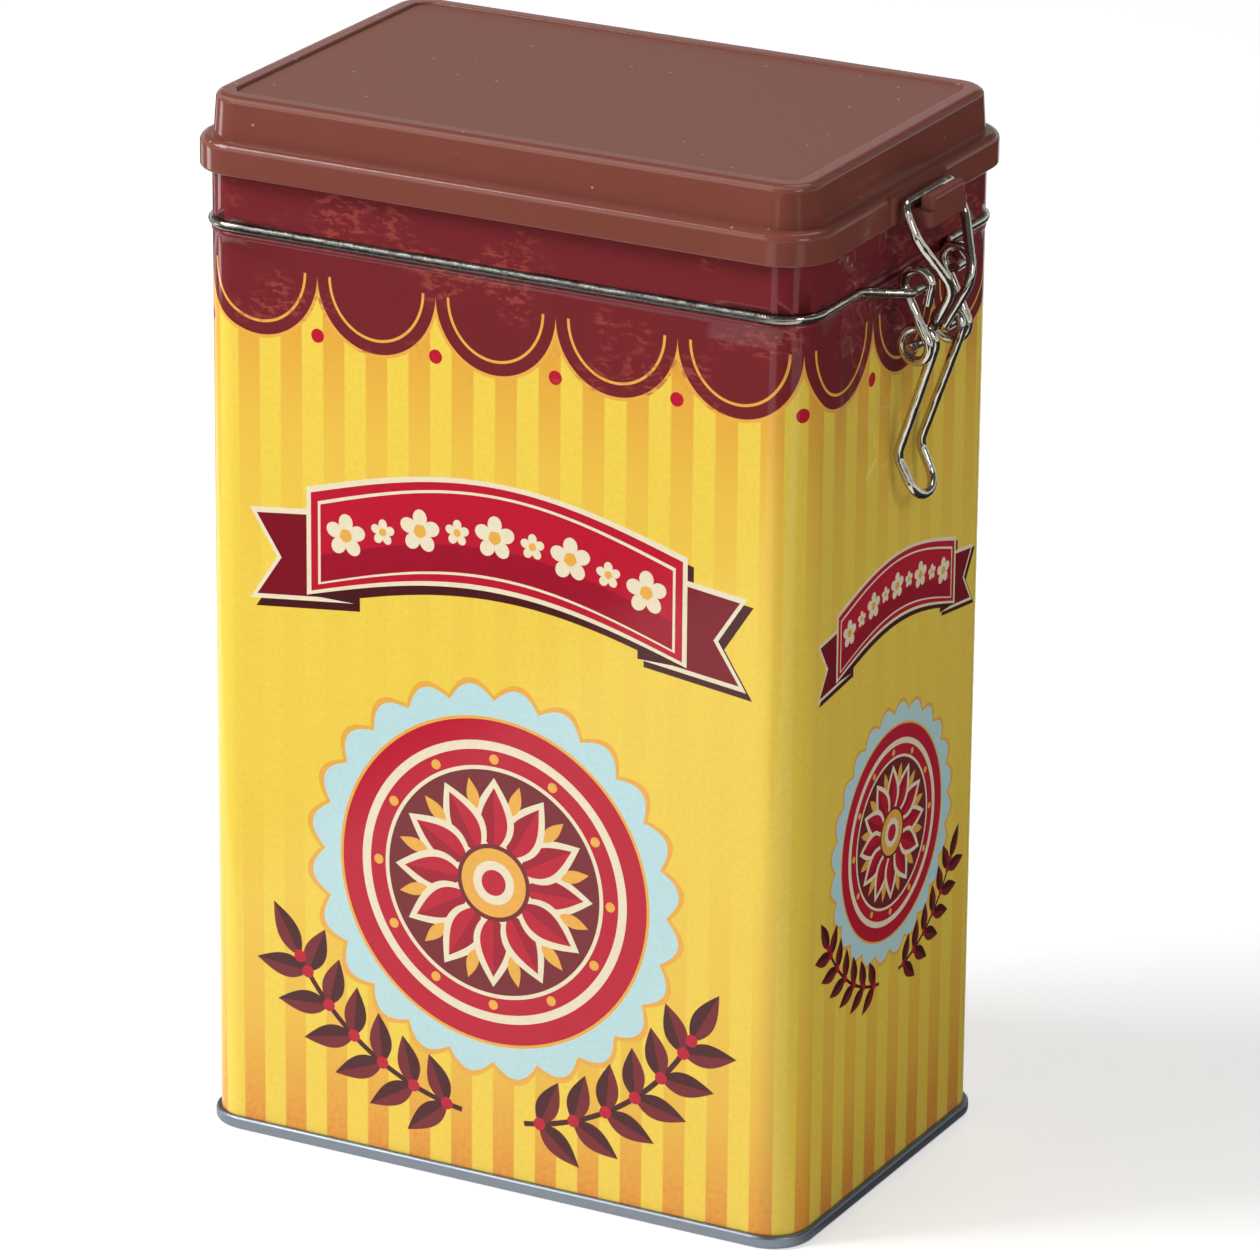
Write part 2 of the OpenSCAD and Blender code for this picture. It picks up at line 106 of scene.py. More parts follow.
def linear(hex_colour):
    """An sRGB hex colour as linear red, green, blue and alpha."""
    parts = [int(hex_colour[i : i + 2], 16) / 255 for i in (1, 3, 5)]
    return tuple(p / 12.92 if p <= 0.04045 else ((p + 0.055) / 1.055) ** 2.4 for p in parts) + (1.0,)


def add(tree, kind, inputs=None, **settings):
    """Adds a shader node of this kind, with its fields set and its inputs filled or linked."""
    node = tree.nodes.new("ShaderNode" + kind)
    for field, value in settings.items():
        setattr(node, field, value)
    for socket, value in (inputs or {}).items():
        if isinstance(value, bpy.types.NodeSocket):
            tree.links.new(value, node.inputs[socket])
        else:
            node.inputs[socket].default_value = value
    return node


def surface(name, **values):
    """A material with one Principled shader, its values set on the shader's own sockets."""
    material = bpy.data.materials.new(name)
    material.use_nodes = True
    shader = material.node_tree.nodes["Principled BSDF"]
    for socket, value in values.items():
        shader.inputs[socket.replace("_", " ")].default_value = value
    return material, material.node_tree, shader


print("helpers ready, a middle grey is", round(linear("#808080")[0], 3), "in linear light")

# %% [markdown]
# Studio paper
#
# The tin stands on pale studio paper that runs past the picture on all sides. Bright metal looks
# like metal only when it has both white and dark to mirror. So mirrored rays see the paper as two
# crossing strips on a dark table, and all other rays see it pale all over. Each strip has a turn in
# degrees and a shift in metres, which takes it away from the clasp side, so that the varnish there
# mirrors the dark table and its colours stay deep. The camera and mirrored rays see the paper
# lifted to full white, and the light on the tin stays at a plain level.

# %% Studio paper
FLOOR_HALF = 4.0
PAPER_HALF, PAPER_EDGE, PAPER_LIFT = 0.075, 0.02, 0.5
PAPER_TURNS_AND_SHIFTS = ((0.0, 0.03), (62.0, 0.085))
scene = bpy.context.scene
scene.view_settings.view_transform = "Standard"


def seen_rays(tree):
    """1 for rays that show the surroundings: from the camera, off a glossy surface or through glass."""
    path = add(tree, "LightPath").outputs
    seen = add(tree, "Math", {0: path["Is Camera Ray"], 1: path["Is Glossy Ray"]}, operation="MAXIMUM")
    seen = add(tree, "Math", {0: seen.outputs[0], 1: path["Is Transmission Ray"]}, operation="MAXIMUM")
    return seen.outputs[0]


floor_mesh = bpy.data.meshes.new("studio_floor")
corners = [(x * FLOOR_HALF, y * FLOOR_HALF, 0) for x, y in ((-1, -1), (1, -1), (1, 1), (-1, 1))]
floor_mesh.from_pydata(corners, [], [(0, 1, 2, 3)])
floor = bpy.data.objects.new("studio_floor", floor_mesh)
scene.collection.objects.link(floor)

paper, tree, shader = surface("studio_paper", Roughness=0.9, Emission_Color=(1, 1, 1, 1))
spot = add(tree, "TexCoord")
table = add(tree, "LightPath").outputs["Is Glossy Ray"]
for turn, shift in PAPER_TURNS_AND_SHIFTS:
    aside = Vector((math.cos(math.radians(turn)), math.sin(math.radians(turn)), 0.0))
    across = add(tree, "VectorMath", {0: spot.outputs["Object"], 1: aside}, operation="DOT_PRODUCT")
    across = add(tree, "Math", {0: across.outputs["Value"], 1: shift}, operation="ADD")
    across = add(tree, "Math", {0: across.outputs[0]}, operation="ABSOLUTE")
    edge = {"From Min": PAPER_HALF, "From Max": PAPER_HALF + PAPER_EDGE}
    beside = add(tree, "MapRange", {"Value": across.outputs[0], **edge})
    table = add(tree, "Math", {0: table, 1: beside.outputs[0]}, operation="MULTIPLY").outputs[0]
colour = add(tree, "Mix", {0: table, 6: linear("#E6E6E6"), 7: linear("#2E2C2A")}, data_type="RGBA")
tree.links.new(colour.outputs[2], shader.inputs["Base Color"])
white = add(tree, "Math", {0: seen_rays(tree), 1: table}, operation="SUBTRACT")
lift = add(tree, "Math", {0: white.outputs[0], 1: PAPER_LIFT}, operation="MULTIPLY")
tree.links.new(lift.outputs[0], shader.inputs["Emission Strength"])
floor_mesh.materials.append(paper)
print("material", paper.name, "with strips", round(2 * PAPER_HALF / MM), "mm wide")

# %% [markdown]
# Room
#
# The world is the studio room: white low down and dark overhead. A picture of a real room could
# light the tin too, but a plain gradient needs no file and gives the wires clean lines. Rays that
# show the room see it at full white. The light that it sheds on the tin is less than half of that.

# %% Room
ROOM_WHITE_UP_TO, ROOM_DARK_FROM = 0.05, 0.45
ROOM_DARK, ROOM_LIGHT = 0.1, 0.45
world = bpy.data.worlds.new("studio")
world.use_nodes = True
scene.world = world
tree = world.node_tree
direction = add(tree, "TexCoord")
upwards = add(tree, "SeparateXYZ", {0: direction.outputs["Generated"]})
fade = {"From Min": ROOM_WHITE_UP_TO, "From Max": ROOM_DARK_FROM, "To Min": 1.0, "To Max": ROOM_DARK}
room = add(tree, "MapRange", {"Value": upwards.outputs["Z"], **fade})
level = add(tree, "MapRange", {"Value": seen_rays(tree), "To Min": ROOM_LIGHT, "To Max": 1.0})
strength = add(tree, "Math", {0: room.outputs[0], 1: level.outputs[0]}, operation="MULTIPLY")
background = tree.nodes["Background"]
tree.links.new(strength.outputs[0], background.inputs["Strength"])
background.inputs["Color"].default_value = (1, 1, 1, 1)
print("world", world.name, "lights the tin at", ROOM_LIGHT)

# %% [markdown]
# Lamps
#
# A soft lamp on the left is the key. A weak one at the front draws light lines along the rounded
# edges, another opens the clasp side on the right, and one overhead lights the lid. A small one low
# on the left is there for its mirror image, a light line down the left corners of lid and neck. All
# are square area lamps, because their size alone sets how soft they are. The camera doesn't see
# them.

# %% Lamps
LIGHT_TARGET = Vector((0, 0, 95)) * MM
for name, azimuth, elevation, distance, size, watts in (
    ("key", -58, 42, 2.0, 0.85, 35.0),
    ("front_soft", -32, 26, 1.2, 0.6, 2.7),
    ("side_fill", 62, 30, 1.5, 0.5, 4.3),
    ("overhead", 170, 68, 1.2, 0.6, 2.5),
    ("left_strip", -78, -3, 0.5, 0.1, 0.18),
):
    lamp = bpy.data.lights.new(name, "AREA")
    lamp.size, lamp.energy = size, watts
    stand = bpy.data.objects.new(name, lamp)
    stand.visible_camera = False
    place_on_sphere(stand, LIGHT_TARGET, azimuth, elevation, distance)
    print("lamp", name, watts, "W")

# %% [markdown]
# Bare tinplate
#
# Tinplate is steel sheet with a thin coat of tin, brushed faintly lengthwise by the mill's rolls.
# It shows on the bottom end, on the curled rim and inside the tin. A metal's colour is its reflection,
# so the material is fully metallic, and a noise drawn out along the rolling direction varies the
# roughness. The seam at the foot is painted darker and bluer than the rest, a painted reflection of a
# grey surface below it.

# %% Bare tinplate
TINPLATE_STREAK_MM = (12.0, 0.35)
SEAM_TOP_MM = 2.5
tinplate, tree, shader = surface("rolled_tinplate", Metallic=1.0)
spot = add(tree, "TexCoord")
height = add(tree, "SeparateXYZ", {0: spot.outputs["Object"]})
# Painted reflection: below this height the seam is painted darker and bluer.
painted_dark_seam = add(tree, "Math", {0: height.outputs["Z"], 1: SEAM_TOP_MM * MM}, operation="LESS_THAN")
shades = {6: linear("#D8DBDD"), 7: linear("#7C848E")}
colour = add(tree, "Mix", {0: painted_dark_seam.outputs[0], **shades}, data_type="RGBA")
tree.links.new(colour.outputs[2], shader.inputs["Base Color"])
lengthwise, crosswise = (1 / (streak * MM) for streak in TINPLATE_STREAK_MM)
stretch = (lengthwise, lengthwise, crosswise)
along = add(tree, "Mapping", {"Vector": spot.outputs["Object"], "Scale": stretch})
streaks = add(tree, "TexNoise", {"Vector": along.outputs[0], "Scale": 1.0, "Detail": 3.0})
gloss = add(tree, "MapRange", {"Value": streaks.outputs["Fac"], "To Min": 0.3, "To Max": 0.5})
tree.links.new(gloss.outputs[0], shader.inputs["Roughness"])
print("material", tinplate.name)

# %% [markdown]
# Nickel-plated wire
#
# The wires are bent from drawn steel wire and then plated in nickel, which is a little warmer than
# chrome. The plating is bright, with soft ripples left by the drawing die. A small bump breaks the
# reflections up so that the wire doesn't look like glass. Along the long sides, where the body's groove
# is rolled against the wire, the plating is rubbed rougher and pitted, and its colour is painted dark
# there as painted shade, the darkness that the wire mirrors. Round the corners, at the hinge and at the
# clasp it stays bright, so the rubbing and the painted shade fade out with the distance from the middle
# of the tin.

# %% Nickel-plated wire
DIE_RIPPLE_MM, BENDING_WAVE_MM = 0.5, 4.0
WAVE_DEPTH_MM, PIT_DEPTH_MM = 0.8, 0.06
SHADE_AND_RUB_UP_TO_MM, BRIGHT_FROM_MM = 50, 60
nickel, tree, shader = surface("nickel_plated_wire", Metallic=1.0)
spot = add(tree, "TexCoord").outputs["Object"]
ripple = add(tree, "TexNoise", {"Vector": spot, "Scale": 1 / (DIE_RIPPLE_MM * MM), "Detail": 2.0})
across = add(tree, "SeparateXYZ", {0: spot})
across = add(tree, "Math", {0: across.outputs["X"]}, operation="ABSOLUTE")
fade = {"From Min": BRIGHT_FROM_MM * MM, "From Max": SHADE_AND_RUB_UP_TO_MM * MM}
# rolled marks the long sides, where the plating is rougher and pitted and its colour is painted dark as
# painted shade.
rolled = add(tree, "MapRange", {"Value": across.outputs[0], **fade})

shades = {6: linear("#B0AAA0"), 7: linear("#D4CEC2")}
bright = add(tree, "Mix", {0: ripple.outputs["Fac"], **shades}, data_type="RGBA")
# Painted shade: along the long sides the plating is painted dark.
shades = {6: linear("#262523"), 7: linear("#75726D")}
painted_shade_plating = add(tree, "Mix", {0: ripple.outputs["Fac"], **shades}, data_type="RGBA")
shades = {6: bright.outputs[2], 7: painted_shade_plating.outputs[2]}
colour = add(tree, "Mix", {0: rolled.outputs[0], **shades}, data_type="RGBA")
tree.links.new(colour.outputs[2], shader.inputs["Base Color"])
gloss = add(tree, "MapRange", {"Value": ripple.outputs["Fac"], "To Min": 0.05, "To Max": 0.16})
rubbed = add(tree, "MapRange", {"Value": rolled.outputs[0], "To Min": 0.0, "To Max": 0.2})
gloss = add(tree, "Math", {0: gloss.outputs[0], 1: rubbed.outputs[0]}, operation="ADD")
tree.links.new(gloss.outputs[0], shader.inputs["Roughness"])

wave = add(tree, "TexNoise", {"Vector": spot, "Scale": 1 / (BENDING_WAVE_MM * MM), "Detail": 1.0})
depth = {"Strength": 0.5, "Distance": WAVE_DEPTH_MM * MM}
dents = add(tree, "Bump", {"Height": wave.outputs["Fac"], **depth})
pits = add(tree, "MapRange", {"Value": rolled.outputs[0], "To Min": 0.3, "To Max": 0.9})
depth = {"Strength": pits.outputs[0], "Distance": PIT_DEPTH_MM * MM}
dents = add(tree, "Bump", {"Height": ripple.outputs["Fac"], "Normal": dents.outputs[0], **depth})
tree.links.new(dents.outputs[0], shader.inputs["Normal"])
print("material", nickel.name)

# %% [markdown]
# Moulded polypropylene
#
# The lid is injection-moulded polypropylene, coloured through. Its walls come from a polished mould and
# are glossy. The recessed top panel comes from a spark-eroded face, which gives a fine matt grain, and a
# little dust lies on it all. The panel's colour is a lighter, greyer brown than the walls, a painted
# sheen of the matt face. It is one piece of plastic, so one material tells the two apart by height: the
# panel lies a little lower than its border. The grain and the dust are drawn coarser than the real ones,
# so that they show in the render.

# %% Moulded polypropylene
PANEL_DROP_MM, PANEL_SLACK_MM = 0.5, 0.2
GRAIN_MM, GRAIN_DEPTH_MM = 0.45, 0.05
CLOUD_MM, DUST_MM = 30, 5.0
lid_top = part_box("lid")[1].z
polypropylene, tree, shader = surface("moulded_polypropylene", IOR=1.49, Specular_IOR_Level=0.3)
spot = add(tree, "TexCoord").outputs["Object"]
height = add(tree, "SeparateXYZ", {0: spot})
recess = {1: lid_top - PANEL_DROP_MM * MM, 2: PANEL_SLACK_MM * MM}
panel = add(tree, "Math", {0: height.outputs["Z"], **recess}, operation="COMPARE")
grain = add(tree, "TexNoise", {"Vector": spot, "Scale": 1 / (GRAIN_MM * MM), "Detail": 2.0})
cloud = add(tree, "TexNoise", {"Vector": spot, "Scale": 1 / (CLOUD_MM * MM), "Detail": 2.0})

shades = {6: linear("#794136"), 7: linear("#85493D")}
walls = add(tree, "Mix", {0: cloud.outputs["Fac"], **shades}, data_type="RGBA")
# Painted sheen: the panel's colour is a lighter, greyer copy of the walls' brown, varied by the real
# grain.
shades = {6: linear("#764A40"), 7: linear("#88594D")}
panel_grain_and_sheen = add(tree, "Mix", {0: grain.outputs["Fac"], **shades}, data_type="RGBA")
shades = {6: walls.outputs[2], 7: panel_grain_and_sheen.outputs[2]}
colour = add(tree, "Mix", {0: panel.outputs[0], **shades}, data_type="RGBA")
dust = add(tree, "TexVoronoi", {"Vector": spot, "Scale": 1 / (DUST_MM * MM), "Randomness": 1.0})
fade = {"From Min": 0.03, "From Max": 0.06, "To Min": 0.85, "To Max": 0.0}
speck = add(tree, "MapRange", {"Value": dust.outputs["Distance"], **fade})
shades = {6: colour.outputs[2], 7: linear("#C9A99A")}
colour = add(tree, "Mix", {0: speck.outputs[0], **shades}, data_type="RGBA")
tree.links.new(colour.outputs[2], shader.inputs["Base Color"])

gloss = add(tree, "MapRange", {"Value": panel.outputs[0], "To Min": 0.15, "To Max": 0.58})
tree.links.new(gloss.outputs[0], shader.inputs["Roughness"])
rough = add(tree, "Math", {0: grain.outputs["Fac"], 1: panel.outputs[0]}, operation="MULTIPLY")
depth = {"Strength": 0.5, "Distance": GRAIN_DEPTH_MM * MM}
relief = add(tree, "Bump", {"Height": rough.outputs[0], **depth})
tree.links.new(relief.outputs[0], shader.inputs["Normal"])
print("material", polypropylene.name)

# %% [markdown]
# Silicone gasket
#
# A soft pale ring under the lid's shoulder presses on the curled rim. Moulded silicone is matt and
# slightly cloudy, so a soft noise between two close colours is enough for it.

# %% Silicone gasket
SILICONE_CLOUD_MM = 4
silicone, tree, shader = surface("silicone_gasket", Roughness=0.65, IOR=1.41)
spot = add(tree, "TexCoord").outputs["Object"]
cloud = add(tree, "TexNoise", {"Vector": spot, "Scale": 1 / (SILICONE_CLOUD_MM * MM)})
shades = {6: linear("#D2CEC4"), 7: linear("#E2DED6")}
colour = add(tree, "Mix", {0: cloud.outputs["Fac"], **shades}, data_type="RGBA")
tree.links.new(colour.outputs[2], shader.inputs["Base Color"])
print("material", silicone.name)

# %% [markdown]
# The flat sheet
#
# A tin like this is printed flat and rolled up afterwards, and the lesson does the same. A place on
# the flat sheet is a distance along it, from the middle of the front, and a height, both in
# millimetres. The body's outline is walked as straight legs and quarter turns, so one function
# carries any place on the sheet to the wall.

# %% The flat sheet
RIM_OUT_MM = 0.5
CORNER_MM = 7.0
low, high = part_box("tin_body")
BODY_W = (high.x - low.x) / MM - 2 * RIM_OUT_MM
BODY_D = (high.y - low.y) / MM - 2 * RIM_OUT_MM
FRONT_FLAT, SIDE_FLAT = BODY_W - 2 * CORNER_MM, BODY_D - 2 * CORNER_MM
TURN_MM = math.pi / 2 * CORNER_MM
ROUND_MM = 2 * (FRONT_FLAT + SIDE_FLAT) + 4 * TURN_MM
LEGS = [FRONT_FLAT / 2, SIDE_FLAT, FRONT_FLAT, SIDE_FLAT, FRONT_FLAT / 2]


def wall(s):
    """Where a place on the sheet lies on the body's outline, and the outward direction there."""
    s %= ROUND_MM
    x, y, heading = 0.0, -BODY_D / 2, 0.0
    for leg in LEGS:
        run = min(s, leg)
        x, y, s = x + run * math.cos(heading), y + run * math.sin(heading), s - run
        if s <= 0:
            break
        turn = min(s / TURN_MM, 1.0) * math.pi / 2
        x += CORNER_MM * (math.sin(heading + turn) - math.sin(heading))
        y += CORNER_MM * (math.cos(heading) - math.cos(heading + turn))
        heading, s = heading + turn, s - TURN_MM
        if s <= 0:
            break
    return x, y, math.sin(heading), -math.cos(heading)


print("the sheet is", round(ROUND_MM, 2), "mm round")

# %% [markdown]
# Shapes for the print
#
# The print is a drawing of flat colours with sharp edges, so it is drawn with outlines, as a
# lithographer's plates were. Noise or image textures would blur at the edges. Each function here
# gives one outline as a list of places, and one more function turns, mirrors, scales and places it
# on the sheet.

# %% Shapes for the print
STEP_MM = 0.5
LEAF_BELLY = 0.8
drawing = []


def on_circle(radius, degrees):
    """The place on a circle round the origin at this angle."""
    return radius * math.cos(math.radians(degrees)), radius * math.sin(math.radians(degrees))


def oval(width, height=None):
    """A circle or ellipse round the origin."""
    a, b = width / 2, (height or width) / 2
    count = max(16, int(math.pi * (a + b) / STEP_MM))
    turns = [2 * math.pi * i / count for i in range(count)]
    return [(a * math.cos(t), b * math.sin(t)) for t in turns]


def scallops(radius, lobes, depth):
    """A disc with a row of round lobes along its edge."""
    count = lobes * 16
    turns = [2 * math.pi * i / count for i in range(count)]
    reaches = [radius + depth * abs(math.sin(lobes * t / 2)) for t in turns]
    return [(r * math.cos(t), r * math.sin(t)) for r, t in zip(reaches, turns)]


def leaf(length, width):
    """A pointed leaf that grows from the origin along the sheet, widest a little nearer its stalk."""
    count = max(8, int(length / STEP_MM))
    upper = []
    for i in range(count + 1):
        swell = math.sin(math.pi * (i / count) ** LEAF_BELLY)
        upper.append((length * i / count, width / 2 * swell))
    return upper[:0:-1] + [(a, -b) for a, b in upper[:-1]]


def half_leaf(length, width):
    """One side of a leaf, up to its middle rib."""
    return leaf(length, width)[: max(8, int(length / STEP_MM))] + [(0.0, 0.0)]


def stroke(line, width):
    """A line drawn with a pen of this width."""
    left, right = [], []
    for i, (a, b) in enumerate(line):
        (a0, b0), (a1, b1) = line[max(i - 1, 0)], line[min(i + 1, len(line) - 1)]
        length = math.hypot(a1 - a0, b1 - b0)
        da, db = -(b1 - b0) / length * width / 2, (a1 - a0) / length * width / 2
        left.append((a + da, b + db))
        right.append((a - da, b - db))
    return right + left[::-1]


def draw(ink, outline, s=0.0, z=0.0, turn=0.0, size=1.0, mirror=False):
    """Adds an outline to the drawing. Later outlines lie over earlier ones."""
    c, k = math.cos(math.radians(turn)) * size, math.sin(math.radians(turn)) * size
    side = -1 if mirror else 1
    drawing.append((ink, [(s + side * (a * c - b * k), z + a * k + b * c) for a, b in outline]))


print("pen step", STEP_MM, "mm")

# %% [markdown]
# The upper border
#
# A dark band covers the neck and ends below it in a row of scallops, like the valance of an awning.
# Each scallop is the lower half of an ellipse. A slightly larger copy in gold lies under it and
# shows as an outline, and a smaller pair inside gives a fine gold line. The plain band is drawn
# last and hides the upper halves.

# %% The upper border
SHEET_LOW = low.z / MM
RIM_R_MM, RIM_IN_MM = 1.0, 0.5
RIM_Z = high.z / MM - RIM_R_MM
SHEET_TOP = RIM_Z - math.sqrt(RIM_R_MM**2 - RIM_IN_MM**2)
SCALLOPS_ROUND = 16
SCALLOP_MM = ROUND_MM / SCALLOPS_ROUND
SCALLOP_TOP, SCALLOP_DROP = 164.0, 12.5
SCALLOP_LAYERS = (("gold", 0.6), ("brown", 0.0), ("gold", -2.2), ("brown", -2.7))
DOT_MM, DOT_RISE = 2.6, 1.5
SHEET_START = -5.5 * SCALLOP_MM
SHEET_END = SHEET_START + ROUND_MM

scallop_numbers = range(-6, SCALLOPS_ROUND - 4)
for ink, grow in SCALLOP_LAYERS:
    for k in scallop_numbers:
        scallop = oval(SCALLOP_MM + 2 * grow, 2 * (SCALLOP_DROP + grow))
        draw(ink, scallop, k * SCALLOP_MM, SCALLOP_TOP)
for k in scallop_numbers:
    draw("red", oval(DOT_MM), (k + 0.5) * SCALLOP_MM, SCALLOP_TOP - SCALLOP_DROP + DOT_RISE)
band = [
    (SHEET_START, SCALLOP_TOP),
    (SHEET_END, SCALLOP_TOP),
    (SHEET_END, SHEET_TOP),
    (SHEET_START, SHEET_TOP),
]
draw("brown", band)
print("border of", SCALLOPS_ROUND, "scallops,", round(SCALLOP_MM, 2), "mm wide")

# %% [markdown]
# Medallion
#
# Each wall carries a generic ornament in the tin's red, cream, brown and pale blue, and its middle
# is a round medallion. Plates and rings are discs that lie on each other, the largest first, and a
# rosette of leaves fills the middle. Every motif is a function of its place and size, so the wide
# and the narrow walls share it.

# %% Medallion
PLATE_LOBES = 24
RINGS = (("gold", 33.2), ("red", 32.6), ("cream", 28.4), ("red", 26.6), ("cream", 23.4), ("brown", 22.6))
HEART = (("brown", 7.8), ("gold", 6.9), ("cream", 4.4), ("red", 2.6))
PETALS = 12
PETAL_LAYERS = (
    ("cream", leaf(15.6, 8.6), 5.6),
    ("red", leaf(12.6, 5.8), 6.6),
    ("crimson", half_leaf(12.6, 5.8), 6.6),
)
PEARL_MM, PEARL_RING, TIP_RING = 2.0, 24.9, 14.6


def medallion(s, z, size):
    """A scalloped plate with rings and a rosette of petals. At size 1 its radius is 40.8 mm."""
    draw("gold", scallops(37.6, PLATE_LOBES, 3.2), s, z, 0, size)
    draw("sky", scallops(36.6, PLATE_LOBES, 3.0), s, z, 0, size)
    for ink, radius in RINGS:
        draw(ink, oval(2 * radius), s, z, 0, size)
    for i in range(PETALS):
        turn = 360 // PETALS * i
        reach = Vector(on_circle(1.0, turn)) * size
        for ink, petal, start in PETAL_LAYERS:
            draw(ink, petal, s + reach.x * start, z + reach.y * start, turn, size)
        draw("gold", oval(PEARL_MM), s + reach.x * PEARL_RING, z + reach.y * PEARL_RING, 0, size)
        between = turn + 180 // PETALS
        tip = Vector(on_circle(1.0, between)) * size
        draw("gold", leaf(6.4, 2.6), s + tip.x * TIP_RING, z + tip.y * TIP_RING, between, size)
    for ink, radius in HEART:
        draw(ink, oval(2 * radius), s, z, 0, size)


print("medallion with", PETALS, "petals")

# %% [markdown]
# Ribbon
#
# Over the medallion runs an arched ribbon with a row of flowers and folded tails. Its arch is a
# stretch of a cosine, which needs no circle to be worked out, and the flowers follow the same arch.
# A dark copy, moved a little down and to the right, lies under it as a printed shadow.

# %% Ribbon
RIBBON_HALF, RIBBON_HALF_HEIGHT, RIBBON_RISE = 37.5, 10.0, 7.0
RIBBON_LAYERS = (("cream", 0.0), ("red", 0.9), ("cream", 2.3), ("red", 2.8))
TAIL = [(28, -17), (49, -19.5), (43.5, -11), (49, -2.5), (28, 0)]
TAIL_FILL = [(28, -16.2), (47.6, -18.5), (42.6, -11), (47.6, -3.4), (28, -1)]
FOLD = [(28, -17), (37, -17), (37, -14.4), (28, -9.5)]
SHADOW_ASIDE, TAIL_SHADOW_DROP, BAND_SHADOW_DROP = 1.2, 1.3, 1.5
CREASE_HALF, CREASE_HALF_HEIGHT, CREASE_DROP = 34.7, 2.5, 4.7
FLOWER_STEP, PETAL_REACH, SMALL_FLOWER = 7.4, 2.4, 0.6


def arch(a, half_length):
    """How far an arched ribbon lies below its crown, at a distance from its middle."""
    return RIBBON_RISE * (math.cos(math.pi / 2 * a / half_length) - 1)


def band_outline(half_length, half_height):
    """A ribbon's stretch between its tails."""
    count = int(2 * half_length / STEP_MM)
    spots = [half_length * (2 * i / count - 1) for i in range(count + 1)]
    lower = [(a, arch(a, half_length) - half_height) for a in spots]
    upper = [(a, arch(a, half_length) + half_height) for a in spots]
    return lower + upper[::-1]


def flower(s, z, size):
    """A flower with five round petals. At size 1 it is 8 mm across."""
    for i in range(5):
        turn = 72 * i + 90
        a, b = on_circle(PETAL_REACH * size, turn)
        draw("cream", oval(3.2, 2.8), s + a, z + b, turn, size)
    draw("gold", oval(2.4), s, z, 0, size)


def ribbon(s, z, size):
    """A ribbon with a row of flowers and folded tails. At size 1 it is 98 mm long."""
    aside = s + SHADOW_ASIDE * size
    for mirror in (False, True):
        draw("umber", TAIL, aside, z - TAIL_SHADOW_DROP * size, 0, size, mirror)
    shadow = band_outline(RIBBON_HALF, RIBBON_HALF_HEIGHT)
    draw("umber", shadow, aside, z - BAND_SHADOW_DROP * size, 0, size)
    for mirror in (False, True):
        draw("cream", TAIL, s, z, 0, size, mirror)
        draw("claret", TAIL_FILL, s, z, 0, size, mirror)
        draw("umber", FOLD, s, z, 0, size, mirror)
    for ink, inset in RIBBON_LAYERS:
        draw(ink, band_outline(RIBBON_HALF - inset, RIBBON_HALF_HEIGHT - inset), s, z, 0, size)
    crease = band_outline(CREASE_HALF, CREASE_HALF_HEIGHT)
    draw("crimson", crease, s, z - CREASE_DROP * size, 0, size)
    for k in range(-4, 5):
        a = FLOWER_STEP * k
        flower_size = size if k % 2 == 0 else SMALL_FLOWER * size
        flower(s + a * size, z + arch(a, RIBBON_HALF) * size, flower_size)


print("ribbon", 2 * RIBBON_HALF, "mm long between its tails")

# %% [markdown]
# Leaf sprays
#
# A leaf spray stands on each side of the medallion, with its stem on an arc round the medallion's
# middle. Each leaf is drawn twice, whole in brown and one half in umber, so that it looks folded
# along its rib. The front and the back get the ornament at full width, and the two sides get a
# smaller one.

# %% Leaf sprays
LEANS_AND_LENGTHS = ((38, 10.5), (145, 9.5))
TIP_LEAN, TIP_LENGTH, LEAF_WIDTH = 90, 11.0, 4.5
STEM_MM, BERRY_MM = 1.0, 2.4
SPRAY_FIRST, SPRAY_LAST = -82, -28


def spray(s, z, size, radius, mirror):
    """A stem on an arc, with a leaf at its tip, pairs of leaves and a berry at each pair."""
    stem = [on_circle(radius, t) for t in range(SPRAY_FIRST, SPRAY_LAST + 1, 2)]
    draw("umber", stroke(stem, STEM_MM), s, z, 0, size, mirror)
    side = -1 if mirror else 1
    pairs = range(SPRAY_FIRST + 4, SPRAY_LAST, 9)
    leaves = [(t, lean, length) for t in pairs for lean, length in LEANS_AND_LENGTHS]
    for t, lean, length in leaves + [(SPRAY_LAST - 1, TIP_LEAN, TIP_LENGTH)]:
        a, b = on_circle(radius, t)
        a, b = a * size * side, b * size
        draw("brown", leaf(length, LEAF_WIDTH), s + a, z + b, t + lean, size, mirror)
        draw("umber", half_leaf(length, LEAF_WIDTH), s + a, z + b, t + lean, size, mirror)
        draw("red", oval(BERRY_MM), s + a, z + b, 0, size)


def wide_panel(s):
    """The ornament of the front and the back."""
    ribbon(s, z=122, size=1.0)
    medallion(s, z=58, size=0.93)
    for mirror in (False, True):
        spray(s, z=58, size=1.0, radius=45.0, mirror=mirror)


def narrow_panel(s):
    """The ornament of the two sides."""
    ribbon(s, z=112, size=0.62)
    medallion(s, z=66, size=0.6)
    for mirror in (False, True):
        spray(s, z=66, size=0.6, radius=46.0, mirror=mirror)


for s in (0.0, ROUND_MM / 2):
    wide_panel(s)
for s in (-ROUND_MM / 4, ROUND_MM / 4):
    narrow_panel(s)
print("the drawing has", len(drawing), "outlines")

# %% [markdown]
# Rolled forms
#
# Under the lid, the wall has a groove that holds the neck wire, and a small bead under the groove
# stiffens it. Both are parts of circles in the wall's cross-section. So two functions of the height
# say how far the outer and the inner face stand out or in there.

